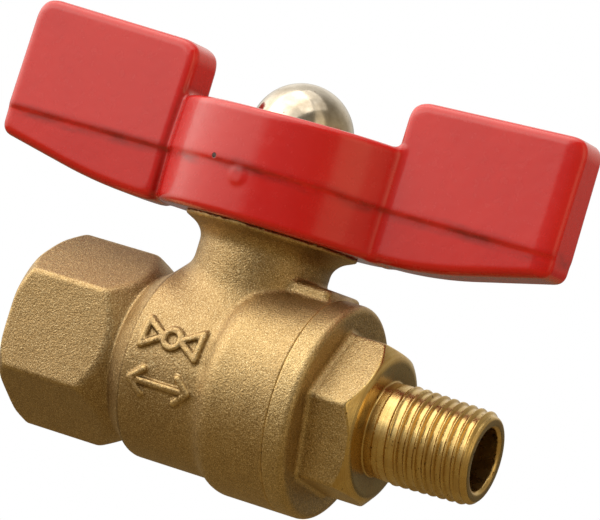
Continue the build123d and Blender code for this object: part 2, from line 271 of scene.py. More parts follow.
def body_shape(x, y, z):
    s = x - STEM_X
    r = np.hypot(y, z)
    q = np.hypot(s, y)

    hex_bar = hexagon(y, z, INLET_FLATS, 0, 0.45)
    slope = beyond(s, r, INLET_HEX_END, (NECK_S, NECK_R))
    hex_bar = both(hex_bar, slope, 0.5)
    mouth_r = np.hypot(y, z + MOUTH_OFF_CENTRE)
    mouth = [(0, 0), *MOUTH_CHAMFER, (STEM_X, MOUTH_CHAMFER[1][1])]
    mouth = convex(x, mouth_r, mouth, 0.4)
    hex_bar = both(hex_bar, mouth, 0.35)
    barrel = convex(s, r, [(NECK_S, NECK_R), (SHOULDER_S, BARREL_R), (5, BARREL_R)], 0.3)
    barrel = np.maximum(barrel, s - BARREL_END_S)
    ring_r = np.hypot(y, z - RING_OFF_CENTRE)
    ring = convex(s, ring_r, [RING_FOOT, (RING_EDGE_S, RING_R), (SEAM_S, RING_R)], 0.7)
    ring = both(ring, s - SEAM_S, 0.2)
    shape = union(hex_bar, barrel, 0.4)
    bonnet = np.maximum(q - BONNET_R, np.maximum(BONNET_Z[0] - z, z - BONNET_Z[1]))
    shape = union(shape, bonnet, 2.6)
    shape = union(shape, ring, 0.5)

    marks = both(flow_marks(s, z), r - (BARREL_R + MARK_RISE), 0.5)
    marks = np.maximum(marks, np.maximum(y, (BARREL_R - 1) - r))
    shape = union(shape, marks, 0.3)

    pad = both(z - PAD_TOP, np.abs(y) - PAD_HALF, 1.1)
    pad = both(pad, np.maximum(PAD_S[0] - s, s - PAD_S[1]), 1.0)
    pad = np.maximum(pad, PAD_LOW - z)
    shape = union(shape, pad, 0.7)

    rim = [(-FLANGE_R, -FLANGE_Z[1]), (-FLANGE_R, -FLANGE_Z[0])]
    cone = [(-FLANGE_CONE_R, -FLANGE_CONE_Z), (0, -FLANGE_CONE_Z)]
    flange = convex(-q, -z, rim + cone, 0.3)
    flange = np.maximum(flange, z - FLANGE_Z[1])
    shape = union(shape, flange, 1.8)

    lug_s = (s + y) / math.sqrt(2)
    lug_y = (y - s) / math.sqrt(2)
    lug = both(np.abs(q - LUG_R) - LUG_HALF_R, np.abs(lug_y) - LUG_HALF_W, 0.3)
    lug = both(np.maximum(lug, -lug_s), z - LUG_Z[1], 0.3)
    lug = np.maximum(lug, LUG_Z[0] - z)
    shape = np.minimum(shape, lug)

    crest = INLET_BORE_R + 0.1 + INLET_THREAD_DEPTH * (1 - helix(x, y, z, INLET_PITCH))
    crest = crest + (INLET_BORE_END - INLET_THREAD_RUNOUT - x) * NPT_TAPER
    thread = (r - crest) / INLET_THREAD_STEEP
    thread = np.maximum(thread, x - INLET_BORE_END)
    bore = np.minimum(np.maximum(r - INLET_BORE_R, x - INLET_BORE_END), thread)
    bore = np.minimum(bore, beyond(x, r, *INLET_COUNTERSINK))
    funnel_end = (INLET_BORE_END + FUNNEL_LENGTH, PORT_R)
    funnel = beyond(x, r, (INLET_BORE_END, INLET_BORE_R), funnel_end)
    bore = np.minimum(bore, np.maximum(funnel, np.maximum(10 - x, r - INLET_BORE_R)))
    bore = np.minimum(bore, np.maximum(r - PORT_R, s - PORT_END_S))
    seat = np.maximum(r - SEAT_R, np.maximum(-SEAT_BACK - s, s - SEAT_END_S))
    chamber = np.maximum(r - CHAMBER_R, np.maximum(CHAMBER_S[0] - s, s - CHAMBER_S[1] - 1))
    joint = np.maximum(r - JOINT_R, CHAMBER_S[1] - s)
    hollow = np.minimum(np.minimum(bore, seat), np.minimum(chamber, joint))
    stem_way = np.maximum(q - STEM_COLLAR_BORE_R, np.maximum(z - STEM_COLLAR_TOP, -z))
    stem_way = np.minimum(stem_way, np.maximum(q - STEM_BORE_R, -z))
    stem_way = np.minimum(stem_way, np.maximum(q - PACKING_BORE_R, PACKING_FLOOR - z))
    return both(shape, -np.minimum(hollow, stem_way), 0.25)


# ---- end connector -----------------------------------------------------------------------
def connector_shape(x, y, z):
    s = x - STEM_X
    r = np.hypot(y, z)
    spigot = np.maximum(r - (JOINT_R - 0.05), np.maximum(CHAMBER_S[1] + 0.8 - s, s - 15))
    ring_r = np.hypot(y, z - RING_OFF_CENTRE)
    collar = both(ring_r - RING_R, s - COLLAR_END_S - COLLAR_TILT * z, 1.2)
    collar = both(collar, SEAM_S - s, 0.2)
    hex_bar = hexagon(y, z, OUTLET_FLATS, OUTLET_TURN, 0.5)
    hex_bar = both(hex_bar, convex(s, r, OUTLET_HEX_PROFILE, 0.5), 0.25)
    root = np.maximum(r - HEX_ROOT_R, np.maximum(HEX_ROOT_S[0] - s, s - HEX_ROOT_S[1]))
    shape = union(np.minimum(spigot, collar), root, 0.7)
    shape = union(shape, hex_bar, 1.0)
    shank = np.maximum(r - SHANK_R, np.maximum(SHANK_S[0] - s, s - SHANK_S[1]))
    shape = union(shape, shank, 0.3)

    crest = TIP_CREST_R + (TIP_S - s) * NPT_TAPER
    fade = np.clip((s - THREAD_S) / THREAD_FADE, 0, 1)
    root_r = crest - THREAD_DEPTH
    profile = root_r + (crest - root_r) * helix(x, y, z, OUTLET_PITCH) * fade
    thread = (r - profile) / THREAD_STEEP
    thread = both(thread, beyond(s, r, *TIP_CHAMFER), 0.2)
    thread = both(thread, s - TIP_S, 0.15)
    thread = np.maximum(thread, THREAD_START_S - s)
    shape = union(shape, thread, 0.3)

    bore = np.maximum(r - OUTLET_BORE_R, SEAT_BACK - 1 - s)
    bore = np.minimum(bore, beyond(s, r, *OUTLET_COUNTERSINK))
    seat = np.maximum(r - SEAT_R, s - SEAT_BACK)
    return both(shape, -np.minimum(bore, seat), 0.2)


# ---- handle ------------------------------------------------------------------------------
HUB_SAG = HUB_BULGE - HUB_END_HALF_T
HUB_ARC_R = (HUB_END_S**2 + HUB_SAG**2) / (2 * HUB_SAG)
HUB_ARC_Y = HUB_ARC_R - HUB_BULGE


def stop_groove_cut(x, y, z):
    """The quarter-turn groove under the hub, about the side that the lug stands on."""
    s = x - STEM_X
    reach = np.hypot(s, y) - STOP_GROOVE_R
    spread = np.abs(np.arctan2(s, y)) - STOP_GROOVE_HALF
    return np.maximum(reach, np.maximum(spread * 8, z - WEB_LOW))


def wing_outline(s, z, tip, top, inner, bend, low, tip_low, corner):
    """Side view of one wing, s measured outward from the stem axis."""
    root, root_top = inner - WING_ROOT_LEAN, top - WING_TOP_DROP
    points = [
        (inner + WING_ROOT_LEAN, low - 5),
        (root, root_top - corner),
        (root + corner, root_top),
        (tip - corner, top),
        (tip, top - corner),
        (tip, tip_low),
        (bend, low),
        (inner - 9, low),
    ]
    return convex(s, z, points, 1.5)


def handle_shape(x, y, z):
    s = np.abs(x - STEM_X)
    t = np.abs(y)
    q = np.hypot(s, t)
    draft = DRAFT * np.abs(z - PARTING_Z)
    draft = draft - MISMATCH * np.tanh((z - PARTING_Z) / MISMATCH_STEP)
    top, low = HUB_TOP + HUB_TOP_SLOPE * np.maximum(x - STEM_X, 0), HANDLE_LOW[2]

    shape = np.hypot(s, t + HUB_ARC_Y) - HUB_ARC_R + draft
    shape = both(shape, np.abs(z - (top + low) / 2) - (top - low) / 2, 1.2)
    for way, tip, sizes, bevel_w in (
        (-1, STEM_X - HANDLE_LOW[0], INLET_WING, INLET_BEVEL),
        (1, HANDLE_HIGH[0] - STEM_X, OUTLET_WING, OUTLET_BEVEL),
    ):
        outline = wing_outline(way * (x - STEM_X), z, tip, HANDLE_HIGH[2], *sizes)
        wing = both(outline, t - WING_HALF_T + draft, WING_EDGE)
        bevel = (way * (x - STEM_X) - tip + bevel_w) * math.sin(BEVEL_TURN)
        bevel = bevel + (t - WING_HALF_T + draft) * math.cos(BEVEL_TURN)
        wing = both(wing, bevel, 0.5)
        shape = union(shape, wing, 1.0)

    blister = np.hypot(x - STEM_X - BLISTER[0], z - BLISTER[1]) / BLISTER_R
    shape = shape - np.where(y < 0, BLISTER_RISE * np.exp(-(blister**4)), 0)

    pocket = np.maximum(q - POCKET_R, WEB_TOP - z)
    gland = np.maximum(q - GLAND_POCKET_R, z - WEB_LOW)
    key = np.maximum(q - (STEM_R + 0.05), t - (STEM_FLATS / 2 + 0.05))
    cut = np.minimum(np.minimum(pocket, gland), key)
    cut = np.minimum(cut, stop_groove_cut(x, y, z))
    return both(shape, -cut, 0.5)


# ---- dome nut ----------------------------------------------------------------------------
def nut_shape(x, y, z):
    s = x - STEM_X
    q = np.hypot(s, y)
    low, top = NUT_LOW[2], NUT_HIGH[2]
    base = hexagon(s, y, NUT_FLATS, math.radians(45), 0.25)
    top_edge = [(0, low + 5), (7.3, low + 5), (8.9, low + 4.1)]
    low_edge = [(8.9, low + 0.7), (7.7, low), (0, low)]
    base = both(base, convex(q, z, top_edge + low_edge, 0.3), 0.2)
    centre = top - DOME_R
    dome_q = np.hypot(s + DOME_OFF_CENTRE, y)
    dome = np.sqrt(dome_q**2 + np.maximum(z - centre, 0) ** 2) - DOME_R
    dome = np.maximum(dome, low + 1 - z)
    shape = union(base, dome, 0.5)
    thread = np.maximum(q - (STEM_R + 0.02), z - NUT_THREAD_TOP)
    return both(shape, -thread, 0.2)


def washer_shape(x, y, z):
    q = np.hypot(x - STEM_X, y)
    middle, half = (WASHER_LOW[2] + WASHER_HIGH[2]) / 2, (WASHER_HIGH[2] - WASHER_LOW[2]) / 2
    ring = both(q - (WASHER_HIGH[0] - STEM_X), (STEM_R + 0.15) - q, 0.1)
    return both(ring, np.abs(z - middle) - half, 0.35)


# ---- from distance to mesh ---------------------------------------------------------------
def gradient(shape, points, step=0.02):
    slopes = np.empty_like(points)
    for axis in range(3):
        offset = np.zeros(3)
        offset[axis] = step
        ahead = shape(*(points + offset).T)
        slopes[:, axis] = (ahead - shape(*(points - offset).T)) / (2 * step)
    return slopes


def unit(vectors):
    return vectors / np.maximum(np.linalg.norm(vectors, axis=1, keepdims=True), 1e-9)


def sample(shape, axes, slab=12):
    """The distance at every grid point, a few planes at a time."""
    y, z = axes[1][None, :, None], axes[2][None, None, :]
    size = tuple(len(a) for a in axes)
    values = np.empty(size, np.float32)
    for first in range(0, size[0], slab):
        x = axes[0][first : first + slab][:, None, None]
        values[first : first + slab] = shape(x, y, z)
    return values


def contour(shape, low, high, cell):
    """Dual contouring: one corner in each cell that the surface crosses, kept on sharp edges."""
    axes = [np.arange(a - 1.63 * cell, b + 2 * cell, cell) for a, b in zip(low, high)]
    values = sample(shape, axes)
    size = np.array(values.shape)
    stride = np.array([size[1] * size[2], size[2], 1])
    inside = values < 0
    cells, places, flips = [], [], []
    for axis in range(3):
        here = tuple(slice(0, -1) if a == axis else slice(None) for a in range(3))
        there = tuple(slice(1, None) if a == axis else slice(None) for a in range(3))
        at = np.argwhere(inside[here] != inside[there])
        ahead = at.copy()
        ahead[:, axis] += 1
        near, far = values[tuple(at.T)], values[tuple(ahead.T)]
        place = np.stack([axes[a][at[:, a]] for a in range(3)], 1).astype(float)
        place[:, axis] += cell * near / (near - far)
        u, v = stride[(axis + 1) % 3], stride[(axis + 2) % 3]
        corner = at @ stride
        cells.append(np.stack([corner, corner - u, corner - u - v, corner - v], 1))
        places.append(place)
        flips.append(near > 0)
    cells, places = np.concatenate(cells), np.concatenate(places)
    flips = np.concatenate(flips)
    normals = unit(gradient(shape, places))

    used, quads = np.unique(cells.ravel(), return_inverse=True)
    owner = quads.ravel()
    source = np.repeat(np.arange(len(places)), 4)
    count = np.bincount(owner).astype(float)

    def gather(weights):
        return np.bincount(owner, weights[source])

    middle = np.stack([gather(places[:, a]) / count for a in range(3)], 1)
    n = normals[source]
    gap = np.sum(n * (places[source] - middle[owner]), 1)
    pull = np.stack([np.bincount(owner, n[:, a] * gap) for a in range(3)], 1)
    form = np.empty((len(used), 3, 3))
    for a in range(3):
        for b in range(3):
            form[:, a, b] = np.bincount(owner, n[:, a] * n[:, b]) + (0.08 if a == b else 0)
    shift = np.linalg.solve(form, pull[:, :, None])[:, :, 0]
    points = middle + np.clip(shift, -0.8 * cell, 0.8 * cell)
    for _ in range(2):
        slope = gradient(shape, points)
        steep = np.maximum(np.sum(slope * slope, 1), 0.2)
        step = (shape(*points.T) / steep)[:, None] * slope
        points = points - np.clip(step, -0.4 * cell, 0.4 * cell)
    quads = quads.reshape(-1, 4)
    quads[flips] = quads[flips][:, ::-1]
    return points, quads, unit(gradient(shape, points))


def hidden_share(shape, points, normals):
    """How closed in each point is, 0 in the open and towards 1 in a crevice."""
    total = 0
    for reach in (0.5, 1.2, 2.6, 5.0):
        space = shape(*(points + normals * reach).T)
        total = total + np.clip(1 - space / reach, 0, 1)
    return total / 4


def edge_share(shape, points, normals, reach=0.45):
    """How sharply the surface falls away on all sides, high on outside edges."""
    helper = np.where(np.abs(normals[:, :1]) > 0.7, [[0, 1.0, 0]], [[1.0, 0, 0]])
    first = unit(np.cross(normals, helper))
    second = np.cross(normals, first)
    total = 0
    for way in (first, second, -first, -second):
        total = total + shape(*(points + way * reach).T)
    return np.clip(total / (reach * 1.1), 0, 1)


def paint_attribute(mesh, name, values):
    attribute = mesh.attributes.new(name, "FLOAT", "POINT")
    attribute.data.foreach_set("value", values.astype(np.float32))


def build(name, shape, low, high, cell, slot, body, *nodes):
    """A mesh of the shape that rides on a body and stands for the CAD nodes."""
    points, quads, normals = contour(shape, low, high, cell)
    mesh = bpy.data.meshes.new(name)
    mesh.from_pydata(points * MM, [], quads)
    mesh.validate()
    paint_attribute(mesh, "recess", hidden_share(shape, points, normals))
    paint_attribute(mesh, "edge", edge_share(shape, points, normals))
    mesh.polygons.foreach_set("use_smooth", np.ones(len(mesh.polygons), bool))
    mesh.normals_split_custom_set_from_vertices(normals)
    piece = bpy.data.objects.new(name, mesh)
    bpy.context.scene.collection.objects.link(piece)
    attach(piece, body)
    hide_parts(*nodes)
    print(name, len(quads), "quads")
    return piece


def finish_faces(piece, materials, choose):
    """Gives each face the material whose index choose(middle, normal) returns."""
    mesh = piece.data
    for material in materials:
        mesh.materials.append(material)
    count = len(mesh.polygons)
    middles, normals = np.empty(count * 3), np.empty(count * 3)
    mesh.polygons.foreach_get("center", middles)
    mesh.polygons.foreach_get("normal", normals)
    index = choose(middles.reshape(-1, 3) / MM, normals.reshape(-1, 3))
    mesh.polygons.foreach_set("material_index", index.astype(np.int32))


# ---- materials ---------------------------------------------------------------------------
def linear(code):
    """A screen colour such as C9A66B as linear red, green, blue, alpha."""
    channels = [int(code[i : i + 2], 16) / 255 for i in (0, 2, 4)]
    return tuple(((c + 0.055) / 1.055) ** 2.4 if c > 0.04 else c / 12.92 for c in channels) + (1,)


# Brown for painted shade in recesses and creases, with some dirt.
SHADE_AND_DIRT_BROWN = linear("4A3010")


class Finish:
    """A material with short ways to add the nodes that the finishes below share."""

    def __init__(self, name, **sockets):
        self.material = bpy.data.materials.new(name)
        self.material.use_nodes = True
        self.tree = self.material.node_tree
        self.shader = self.tree.nodes["Principled BSDF"]
        for key, value in sockets.items():
            self.shader.inputs[key.replace("_", " ")].default_value = value
        self.place = self.tree.nodes.new("ShaderNodeTexCoord").outputs["Object"]
        self.bumps = None

    def node(self, kind, **settings):
        node = self.tree.nodes.new("ShaderNode" + kind)
        for key, value in settings.items():
            setattr(node, key, value)
        return node

    def put(self, value, socket):
        if isinstance(value, bpy.types.NodeSocket):
            self.tree.links.new(value, socket)
        else:
            socket.default_value = value

    def noise(self, size_mm, detail=3.0, roughness=0.55, stretch=(1, 1, 1)):
        scaled = self.node("Mapping")
        self.put(self.place, scaled.inputs["Vector"])
        scaled.inputs["Scale"].default_value = [1 / (size_mm * MM * c) for c in stretch]
        noise = self.node("TexNoise")
        self.put(scaled.outputs["Vector"], noise.inputs["Vector"])
        noise.inputs["Scale"].default_value = 1.0
        noise.inputs["Detail"].default_value = detail
        noise.inputs["Roughness"].default_value = roughness
        return noise.outputs["Fac"]

    def pits(self, size_mm):
        cells = self.node("TexVoronoi")
        self.put(self.place, cells.inputs["Vector"])
        cells.inputs["Scale"].default_value = 1 / (size_mm * MM)
        return cells.outputs["Distance"]

    def attribute(self, name):
        return self.node("Attribute", attribute_name=name).outputs["Fac"]

    def math(self, operation, a, b=0.0):
        node = self.node("Math", operation=operation)
        self.put(a, node.inputs[0])
        self.put(b, node.inputs[1])
        return node.outputs[0]

    def remap(self, value, low, high, to_low=0.0, to_high=1.0):
        node = self.node("MapRange")
        self.put(value, node.inputs["Value"])
        ends = {"From Min": low, "From Max": high, "To Min": to_low, "To Max": to_high}
        for key, number in ends.items():
            node.inputs[key].default_value = number
        return node.outputs["Result"]

    def mix(self, factor, a, b):
        node = self.node("Mix", data_type="RGBA")
        self.put(factor, node.inputs[0])
        self.put(a, node.inputs[6])
        self.put(b, node.inputs[7])
        return node.outputs[2]

    def bump(self, height, depth_mm):
        node = self.node("Bump")
        node.inputs["Strength"].default_value = 1.0
        node.inputs["Distance"].default_value = depth_mm * MM
        self.put(height, node.inputs["Height"])
        if self.bumps is not None:
            self.put(self.bumps, node.inputs["Normal"])
        self.bumps = node.outputs["Normal"]

    def done(self, colour, rough=None):
        self.put(colour, self.shader.inputs["Base Color"])
        if rough is not None:
            self.put(rough, self.shader.inputs["Roughness"])
        if self.bumps is not None:
            self.put(self.bumps, self.shader.inputs["Normal"])
        return self.material

    def axis(self, letter):
        parts = self.node("SeparateXYZ")
        self.put(self.place, parts.inputs[0])
        return parts.outputs[letter]

    def length(self, a, b):
        squares = self.math("ADD", self.math("MULTIPLY", a, a), self.math("MULTIPLY", b, b))
        return self.math("SQRT", squares)


def cast_brass(name, shaded, bright):
    """Forged and blasted: matt sparkling grain, worn bright on the edges, painted lighter towards
    +X, with painted shade and some dirt in the recesses and a painted shade line on the shoulder
    crease.
    """
    f = Finish(name, Metallic=1.0)
    grain = f.noise(0.22, 2.0, 0.6)
    blotch = f.noise(3.5, 4.0, 0.6)
    # Painted light and shade: darker towards the inlet and lighter towards +X, standing in for
    # light that falls brighter on the right.
    painted_light = f.remap(f.axis("X"), (STEM_X + PAINTED_LIGHT_S[0]) * MM, (STEM_X + PAINTED_LIGHT_S[1]) * MM)
    colour = f.mix(painted_light, linear(shaded), linear(bright))
    colour = f.mix(f.remap(blotch, 0.3, 0.7, 0, 0.3), colour, linear("9A7E50"))
    colour = f.mix(f.remap(grain, 0.35, 0.68), f.mix(0.5, colour, linear("664A2A")), colour)
    colour = f.mix(f.remap(grain, 0.62, 0.76, 0, 0.55), colour, linear("F4DFAE"))
    fine = f.noise(0.13, 1.0, 0.5)
    colour = f.mix(f.remap(fine, 0.3, 0.5, 0.5, 0), colour, linear("5A4020"))
    colour = f.mix(f.remap(fine, 0.58, 0.72, 0, 0.6), colour, linear("FFF0C4"))
    recess = f.attribute("recess")
    # Painted shade with some dirt: darker where the surface is closed in, broken up by noise.
    painted_shade_and_dirt = f.math("ADD", recess, f.remap(f.noise(1.2, 4.0), 0.3, 0.7, -0.12, 0.12))
    colour = f.mix(f.remap(painted_shade_and_dirt, 0.35, 0.95, 0, 0.6), colour, SHADE_AND_DIRT_BROWN)
    radius = f.length(f.axis("Y"), f.axis("Z"))
    # Painted shade: a dark line along the crease at the shoulder of the barrel.
    painted_crease_shade = f.math("ABSOLUTE", f.math("SUBTRACT", f.axis("X"), (STEM_X + SHOULDER_S) * MM))
    painted_crease_shade = f.remap(painted_crease_shade, 0.05 * MM, 0.28 * MM, 0.55, 0)
    painted_crease_shade = f.math("MULTIPLY", painted_crease_shade, f.math("LESS_THAN", radius, (BARREL_R + 0.7) * MM))
    colour = f.mix(painted_crease_shade, colour, SHADE_AND_DIRT_BROWN)
    edge = f.math("MULTIPLY", f.attribute("edge"), f.remap(f.noise(0.8), 0.35, 0.6))
    colour = f.mix(f.remap(edge, 0.15, 0.7, 0, 0.6), colour, linear("E2C489"))
    rough = f.remap(grain, 0.3, 0.7, 0.36, 0.56)
    f.bump(f.pits(0.34), 0.03)
    f.bump(grain, 0.07)
    f.bump(f.noise(1.6, 3.0), 0.06)
    return f.done(colour, rough)


def machined_brass():
    """Turned on a lathe: bright gold with fine tool lines, light stains and nicks."""
    f = Finish("machined_brass", Metallic=1.0)
    lines = f.noise(0.09, 1.0, 0.5, (1, 400, 400))
    stain = f.noise(2.2, 5.0, 0.65)
    colour = f.mix(f.remap(stain, 0.35, 0.7), linear("D9B973"), linear("C49F59"))
    colour = f.mix(f.remap(lines, 0.3, 0.7, 0, 0.3), colour, linear("F3DEAE"))
    recess = f.attribute("recess")
    # Painted shade: darker brass in the thread roots and other recesses.
    colour = f.mix(f.remap(recess, 0.3, 0.9, 0, 0.5), colour, linear("8A6224"))
    spots = f.remap(f.noise(0.7, 2.0), 0.68, 0.76)
    colour = f.mix(spots, colour, linear("5A3512"))
    rough = f.remap(stain, 0.3, 0.7, 0.2, 0.34)
    f.bump(lines, 0.012)
    f.bump(f.noise(0.35, 2.0), 0.012)
    return f.done(colour, rough)


def red_coating():
    """Thick glossy coat over a casting: orange peel, a dark smear along the parting line, painted
    shade in the crevices, small flaws.
    """
    f = Finish("red_coating", Specular_IOR_Level=0.5, Coat_Weight=0.45, Coat_Roughness=0.05)
    tone = f.noise(9.0, 3.0)
    colour = f.mix(f.remap(tone, 0.35, 0.65), linear("C40B05"), linear("CA1208"))
    height = f.axis("Z")
    # Darker red along the parting line, a little below it, wandering and broken up by noise.
    wander = f.remap(f.noise(5.0, 3.0), 0.3, 0.7, -0.3 * MM, 0.3 * MM)
    line = f.math("SUBTRACT", f.math("ADD", height, wander), (PARTING_Z - PARTING_LINE_DROP) * MM)
    line = f.math("ABSOLUTE", line)
    parting_darkening = f.remap(line, 0.1 * MM, 1.3 * MM, 0.75, 0)
    parting_darkening = f.math("MULTIPLY", parting_darkening, f.remap(f.noise(3.4, 4.0, 0.6, (2.0, 2.0, 0.5)), 0.36, 0.66))
    # Painted shade: darker red in the crevices, where the surface is closed in.
    recess = f.remap(f.attribute("recess"), 0.3, 0.8, 0, 0.5)
    colour = f.mix(f.math("MAXIMUM", parting_darkening, recess), colour, linear("5A0A06"))
    across = f.math("SUBTRACT", f.axis("X"), (STEM_X + PINHOLE[0]) * MM)
    above = f.math("SUBTRACT", height, PINHOLE[1] * MM)
    reach = f.length(across, above)
    pinhole = f.remap(reach, PINHOLE_R * MM, PINHOLE_R * MM * 1.4, 1, 0)
    pinhole = f.math("MULTIPLY", pinhole, f.math("LESS_THAN", f.axis("Y"), 0.0))
    colour = f.mix(pinhole, colour, linear("2C0A06"))
    rough = f.remap(f.noise(1.4, 4.0), 0.3, 0.7, 0.2, 0.3)
    f.bump(f.noise(1.5, 2.0), 0.03)
    f.bump(f.noise(0.5, 2.0, 0.5, (9, 9, 1)), 0.004)
    f.bump(pinhole, -0.1)
    return f.done(colour, rough)


def plated(name, light, dark, rough_low, rough_high):
    """Bright plate with faint clouds, fine hairlines and a few brown specks."""
    f = Finish(name, Metallic=1.0)
    cloud = f.noise(2.6, 5.0, 0.6)
    colour = f.mix(f.remap(cloud, 0.35, 0.7), linear(light), linear(dark))
    specks = f.remap(f.noise(0.55, 2.0), 0.7, 0.76)
    colour = f.mix(specks, colour, linear("6B4A2C"))
    rough = f.remap(cloud, 0.3, 0.7, rough_low, rough_high)
    rough = f.math("ADD", rough, f.math("MULTIPLY", specks, 0.3))
    f.bump(f.noise(0.25, 2.0, 0.5, (8, 1, 1)), 0.002)
    f.bump(f.noise(1.8, 2.0), 0.008)
    return f.done(colour, rough)


def soft_seal():
    """White PTFE with a fine bumpy grain and a slight waxy mottle."""
    f = Finish("ptfe", Roughness=0.45, Subsurface_Weight=0.15)
    mottle = f.noise(1.5, 4.0)
    colour = f.mix(f.remap(mottle, 0.35, 0.65), linear("EFEDE6"), linear("DAD6CB"))
    f.bump(f.noise(0.2, 2.0), 0.01)
    return f.done(colour, f.remap(mottle, 0.3, 0.7, 0.38, 0.52))


# The forged body's brass, painted darker towards the inlet.
CAST = cast_brass("forged_brass", "C9AA79", "DBBB83")
# The end connector's brass: a lighter copy of the forged brass, with the painted light carried on
# towards +X.
LIT_BLASTED = cast_brass("blasted_brass", "DBBB83", "E8CA90")
TURNED = machined_brass()
RED = red_coating()
NICKEL = plated("nickel_plate", "D6CCBC", "AFA28E", 0.1, 0.22)
BALL_PLATE = plated("plated_ball", "E6E6E8", "CFCFD2", 0.05, 0.12)
STEEL = plated("plated_steel", "BEBDB8", "908E88", 0.22, 0.38)
PTFE = soft_seal()

for node, material in {
    "ball": BALL_PLATE,
    "stem": TURNED,
    "packing_gland_nut": TURNED,
    "spring_lock_washer": STEEL,
    "body_joint_seal": PTFE,
    "inlet_seat_ring": PTFE,
    "outlet_seat_ring": PTFE,
    "stem_thrust_washer": PTFE,
    "packing_ring_lower": PTFE,
    "packing_ring_middle": PTFE,
    "packing_ring_upper": PTFE,
}.items():
    mesh = frame["nodes"][node].data
    mesh.materials.clear()
    mesh.materials.append(material)


# ---- pieces ------------------------------------------------------------------------------
MOUTH_DEPTH, MOUTH_FACE_R = 2.9, 12.0
INSIDE_R, INSIDE_TOP = 12.6, 13
TURNED_R = 9.0


def inside_bore(middle, normal):
    """1 on the threads, bores and turned faces of the body, 0 on the forged outside."""
    r = np.hypot(middle[:, 1], middle[:, 2])
    inward = -(normal[:, 1] * middle[:, 1] + normal[:, 2] * middle[:, 2]) / r
    mouth = (middle[:, 0] < MOUTH_DEPTH) & (normal[:, 0] < -0.3) & (r < MOUTH_FACE_R)
    return mouth | ((r < INSIDE_R) & (inward > -0.3) & (middle[:, 2] < INSIDE_TOP))


def turned_end(middle, normal):
    """1 on the chamfer, shank, thread and bore of the outlet, 0 on the forged hexagon."""
    s = middle[:, 0] - STEM_X
    r = np.hypot(middle[:, 1], middle[:, 2])
    chamfer = (s > HEX_ROOT_S[1]) & (normal[:, 0] > 0.3)
    return chamfer | (r < TURNED_R) | (s < SEAM_S - 0.1)


coarse = 1.0
body = build(
    "forged_valve_body", body_shape, BODY_LOW, BODY_HIGH, 0.32 * coarse,
    "cast_brass", "valve_body", "body_casting",
)
finish_faces(body, [CAST, TURNED], inside_bore)
connector = build(
    "threaded_end_connector", connector_shape, END_LOW, END_HIGH, 0.18 * coarse,
    "machined_brass", "valve_body", "end_connector",
)
finish_faces(connector, [LIT_BLASTED, TURNED], turned_end)
handle = build(
    "butterfly_handle", handle_shape, HANDLE_LOW, HANDLE_HIGH, 0.3 * coarse,
    "red_coating", "handle_and_stem", "handle",
)
handle.data.materials.append(RED)
nut = build(
    "acorn_nut", nut_shape, NUT_LOW, NUT_HIGH, 0.17 * coarse,
    "nickel_plate", "handle_and_stem", "dome_nut",
)
nut.data.materials.append(NICKEL)
washer = build(
    "round_washer", washer_shape, WASHER_LOW, WASHER_HIGH, 0.18 * coarse,
    "plated_steel", "handle_and_stem", "flat_washer",
)
washer.data.materials.append(STEEL)


# ---- floor, light and camera ---------------------------------------------------------------
# Degrees round from the front towards +X, with the light's share there. A ramp's ends come first.
LIGHT_AROUND = [
    (-180, 0.38), (180, 0.38), (-125, 0.55), (-95, 1.0), (-60, 0.8), (-24, 0.58),
    (-14, 0.13), (44, 0.11), (50, 0.42), (72, 0.42), (78, 0.17), (150, 0.2),
]
# Height from 0, straight down, to 1, straight up, with the light's share there.
LIGHT_UPWARD = [(0.0, 0.3), (1.0, 0.4), (0.4, 0.34), (0.5, 0.5), (0.62, 0.9), (0.85, 0.6)]
LIGHT_STRENGTH = 3.2
DARKER_BEHIND = 0.7
PALE_LIGHT = (1, 0.96, 0.88, 1)
GOLDEN_LIGHT = (1, 0.82, 0.52, 1)


def ramp(tree, value, stops):
    """A ramp from dark to light, its two ends listed before the stops between them."""
    node = tree.nodes.new("ShaderNodeValToRGB")
    elements = node.color_ramp.elements
    for index, (place, level) in enumerate(stops):
        element = elements[index] if index < 2 else elements.new(place)
        element.position = place
        element.color = (level, level, level, 1)
    tree.links.new(value, node.inputs[0])
    return node.outputs["Color"]


